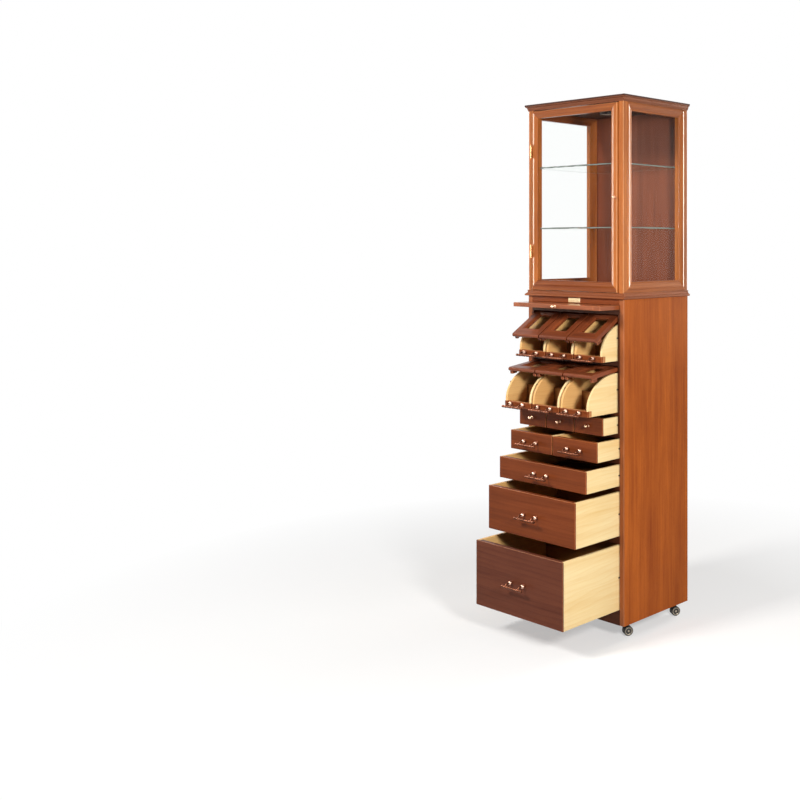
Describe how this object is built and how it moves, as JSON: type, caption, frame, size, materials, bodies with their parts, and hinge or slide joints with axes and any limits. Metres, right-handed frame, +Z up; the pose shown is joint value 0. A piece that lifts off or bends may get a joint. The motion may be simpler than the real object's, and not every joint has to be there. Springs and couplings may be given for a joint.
{
  "type": "haberdashery cabinet",
  "caption": "Tall cabinet on castors: drawers below, scoop bins under glazed flaps, a pull-out writing slide, and a glazed display case with a hinged door on top.",
  "frame": {"origin": "centre of the whole cabinet's footprint at rest, its open drawers and bins included, on the floor", "axes": "+Z up, +Y towards the back, -Y the way the drawers, bins and slide open, +X to the right as seen from the front"},
  "size_m": [0.512, 0.727, 2],
  "materials": {
    "carcass_wood": "satin varnish over a vertical grain",
    "case_wood": "gloss varnish",
    "drawer_wood": "satin varnish, pale sides",
    "flap_wood": "satin varnish",
    "pale_wood": "waxed pale wood",
    "antique_copper": "antique copper",
    "brass": "polished",
    "steel": "plain",
    "clear_glass": "clear",
    "dark_nylon": "moulded",
    "castor_plastic": "moulded",
    "wheel_metal": "bright rims",
    "lamp_lens": "frosted"
  },
  "bodies": {
    "cabinet": {"side_panels": "carcass_wood", "back_panel": "carcass_wood", "base": "carcass_wood", "shelf_boards": "carcass_wood", "partitions": "carcass_wood", "guide_buttons": "dark_nylon", "flap_rods": "steel", "name_plate": "brass", "waist_moulding": "case_wood", "case_side_frames": "case_wood", "case_side_panes": "clear_glass", "case_back": "case_wood", "cornice": "case_wood", "ceiling_lamp": "lamp_lens", "glass_shelves": "clear_glass", "shelf_pegs": "brass", "door_hinges": "brass"},
    "door": {"door_frame": "case_wood", "door_pane": "clear_glass", "door_fittings": "brass"},
    "writing_slide": {"writing_slide": "carcass_wood"},
    "deep_drawer": {"deep_drawer": "drawer_wood", "deep_drawer_handle": "antique_copper"},
    "large_drawer": {"large_drawer": "drawer_wood", "large_drawer_handle": "antique_copper"},
    "shallow_drawer": {"shallow_drawer": "drawer_wood", "shallow_drawer_handle": "antique_copper"},
    "half_drawer_left": {"half_drawer_left": "drawer_wood", "half_drawer_left_handle": "antique_copper"},
    "half_drawer_right": {"half_drawer_right": "drawer_wood", "half_drawer_right_handle": "antique_copper"},
    "small_drawer_left": {"small_drawer_left": "drawer_wood"},
    "small_drawer_middle": {"small_drawer_middle": "drawer_wood"},
    "small_drawer_right": {"small_drawer_right": "drawer_wood"},
    "lower_bin_left": {"lower_bin_left": "pale_wood", "lower_bin_left_handle": "antique_copper"},
    "lower_flap_left": {"lower_flap_left": "flap_wood"},
    "lower_bin_middle": {"lower_bin_middle": "pale_wood", "lower_bin_middle_handle": "antique_copper"},
    "lower_flap_middle": {"lower_flap_middle": "flap_wood"},
    "lower_bin_right": {"lower_bin_right": "pale_wood", "lower_bin_right_handle": "antique_copper"},
    "lower_flap_right": {"lower_flap_right": "flap_wood"},
    "upper_bin_left": {"upper_bin_left": "pale_wood", "upper_bin_left_handle": "antique_copper"},
    "upper_flap_left": {"upper_flap_left": "flap_wood"},
    "upper_bin_middle": {"upper_bin_middle": "pale_wood", "upper_bin_middle_handle": "antique_copper"},
    "upper_flap_middle": {"upper_flap_middle": "flap_wood"},
    "upper_bin_right": {"upper_bin_right": "pale_wood", "upper_bin_right_handle": "antique_copper"},
    "upper_flap_right": {"upper_flap_right": "flap_wood"},
    "front_left_castor": {"front_left_castor_body": "castor_plastic"},
    "front_left_castor_wheels": {"front_left_castor_wheels": "wheel_metal"},
    "front_right_castor": {"front_right_castor_body": "castor_plastic"},
    "front_right_castor_wheels": {"front_right_castor_wheels": "wheel_metal"},
    "rear_left_castor": {"rear_left_castor_body": "castor_plastic"},
    "rear_left_castor_wheels": {"rear_left_castor_wheels": "wheel_metal"},
    "rear_right_castor": {"rear_right_castor_body": "castor_plastic"},
    "rear_right_castor_wheels": {"rear_right_castor_wheels": "wheel_metal"}
  },
  "joints": [
    {"name": "door_turn", "type": "hinge", "parent": "cabinet", "child": "door", "pos_m": [-0.219, -0.0395, 1.4], "axis": [0, 0, -1], "range_deg": [0, 115]},
    {"name": "writing_slide_pull", "type": "slide", "parent": "cabinet", "child": "writing_slide", "axis": [0, -1, 0], "range_m": [-0.106, 0.144]},
    {"name": "deep_drawer_pull", "type": "slide", "parent": "cabinet", "child": "deep_drawer", "axis": [0, -1, 0], "range_m": [-0.3, 0]},
    {"name": "large_drawer_pull", "type": "slide", "parent": "cabinet", "child": "large_drawer", "axis": [0, -1, 0], "range_m": [-0.237, 0.063]},
    {"name": "shallow_drawer_pull", "type": "slide", "parent": "cabinet", "child": "shallow_drawer", "axis": [0, -1, 0], "range_m": [-0.18, 0.11]},
    {"name": "half_drawer_left_pull", "type": "slide", "parent": "cabinet", "child": "half_drawer_left", "axis": [0, -1, 0], "range_m": [-0.121, 0.159]},
    {"name": "half_drawer_right_pull", "type": "slide", "parent": "cabinet", "child": "half_drawer_right", "axis": [0, -1, 0], "range_m": [-0.121, 0.159]},
    {"name": "small_drawer_left_pull", "type": "slide", "parent": "cabinet", "child": "small_drawer_left", "axis": [0, -1, 0], "range_m": [-0.081, 0.179]},
    {"name": "small_drawer_middle_pull", "type": "slide", "parent": "cabinet", "child": "small_drawer_middle", "axis": [0, -1, 0], "range_m": [-0.081, 0.179]},
    {"name": "small_drawer_right_pull", "type": "slide", "parent": "cabinet", "child": "small_drawer_right", "axis": [0, -1, 0], "range_m": [-0.081, 0.179]},
    {"name": "lower_bin_left_pull", "type": "slide", "parent": "cabinet", "child": "lower_bin_left", "axis": [0, -1, 0], "range_m": [-0.225, 0.01]},
    {"name": "lower_flap_left_turn", "type": "hinge", "parent": "cabinet", "child": "lower_flap_left", "pos_m": [-0.14333, -0.0145, 0.993], "axis": [-1, 0, 0], "range_deg": [-83.1, 3.79]},
    {"name": "lower_bin_middle_pull", "type": "slide", "parent": "cabinet", "child": "lower_bin_middle", "axis": [0, -1, 0], "range_m": [-0.225, 0.01]},
    {"name": "lower_flap_middle_turn", "type": "hinge", "parent": "cabinet", "child": "lower_flap_middle", "pos_m": [0, -0.0145, 0.993], "axis": [-1, 0, 0], "range_deg": [-83.1, 3.79]},
    {"name": "lower_bin_right_pull", "type": "slide", "parent": "cabinet", "child": "lower_bin_right", "axis": [0, -1, 0], "range_m": [-0.225, 0.01]},
    {"name": "lower_flap_right_turn", "type": "hinge", "parent": "cabinet", "child": "lower_flap_right", "pos_m": [0.14333, -0.0145, 0.993], "axis": [-1, 0, 0], "range_deg": [-83.1, 3.79]},
    {"name": "upper_bin_left_pull", "type": "slide", "parent": "cabinet", "child": "upper_bin_left", "axis": [0, -1, 0], "range_m": [-0.15, 0.055]},
    {"name": "upper_flap_left_turn", "type": "hinge", "parent": "cabinet", "child": "upper_flap_left", "pos_m": [-0.14333, -0.0145, 1.182], "axis": [-1, 0, 0], "range_deg": [-58.6, 21.55]},
    {"name": "upper_bin_middle_pull", "type": "slide", "parent": "cabinet", "child": "upper_bin_middle", "axis": [0, -1, 0], "range_m": [-0.15, 0.055]},
    {"name": "upper_flap_middle_turn", "type": "hinge", "parent": "cabinet", "child": "upper_flap_middle", "pos_m": [0, -0.0145, 1.182], "axis": [-1, 0, 0], "range_deg": [-58.6, 21.55]},
    {"name": "upper_bin_right_pull", "type": "slide", "parent": "cabinet", "child": "upper_bin_right", "axis": [0, -1, 0], "range_m": [-0.15, 0.055]},
    {"name": "upper_flap_right_turn", "type": "hinge", "parent": "cabinet", "child": "upper_flap_right", "pos_m": [0.14333, -0.0145, 1.182], "axis": [-1, 0, 0], "range_deg": [-58.6, 21.55]},
    {"name": "front_left_castor_swivel", "type": "hinge", "parent": "cabinet", "child": "front_left_castor", "pos_m": [-0.2, 0.0285, 0.056], "axis": [0, 0, 1], "continuous": true},
    {"name": "front_left_castor_roll", "type": "hinge", "parent": "front_left_castor", "child": "front_left_castor_wheels", "pos_m": [-0.193, 0.04062, 0.018], "axis": [0.866, -0.5, 0], "continuous": true},
    {"name": "front_right_castor_swivel", "type": "hinge", "parent": "cabinet", "child": "front_right_castor", "pos_m": [0.2, 0.0285, 0.056], "axis": [0, 0, 1], "continuous": true},
    {"name": "front_right_castor_roll", "type": "hinge", "parent": "front_right_castor", "child": "front_right_castor_wheels", "pos_m": [0.207, 0.04062, 0.018], "axis": [0.866, -0.5, 0], "continuous": true},
    {"name": "rear_left_castor_swivel", "type": "hinge", "parent": "cabinet", "child": "rear_left_castor", "pos_m": [-0.2, 0.3185, 0.056], "axis": [0, 0, 1], "continuous": true},
    {"name": "rear_left_castor_roll", "type": "hinge", "parent": "rear_left_castor", "child": "rear_left_castor_wheels", "pos_m": [-0.193, 0.33062, 0.018], "axis": [0.866, -0.5, 0], "continuous": true},
    {"name": "rear_right_castor_swivel", "type": "hinge", "parent": "cabinet", "child": "rear_right_castor", "pos_m": [0.2, 0.3185, 0.056], "axis": [0, 0, 1], "continuous": true},
    {"name": "rear_right_castor_roll", "type": "hinge", "parent": "rear_right_castor", "child": "rear_right_castor_wheels", "pos_m": [0.207, 0.33062, 0.018], "axis": [0.866, -0.5, 0], "continuous": true}
  ],
  "couplings": [
    {"joint": "lower_flap_left_turn", "follows": "lower_bin_left_pull", "rad_per_m": 6.4383},
    {"joint": "lower_flap_middle_turn", "follows": "lower_bin_middle_pull", "rad_per_m": 6.4383},
    {"joint": "lower_flap_right_turn", "follows": "lower_bin_right_pull", "rad_per_m": 6.4383},
    {"joint": "upper_flap_left_turn", "follows": "upper_bin_left_pull", "rad_per_m": 6.8068},
    {"joint": "upper_flap_middle_turn", "follows": "upper_bin_middle_pull", "rad_per_m": 6.8068},
    {"joint": "upper_flap_right_turn", "follows": "upper_bin_right_pull", "rad_per_m": 6.8068}
  ]
}
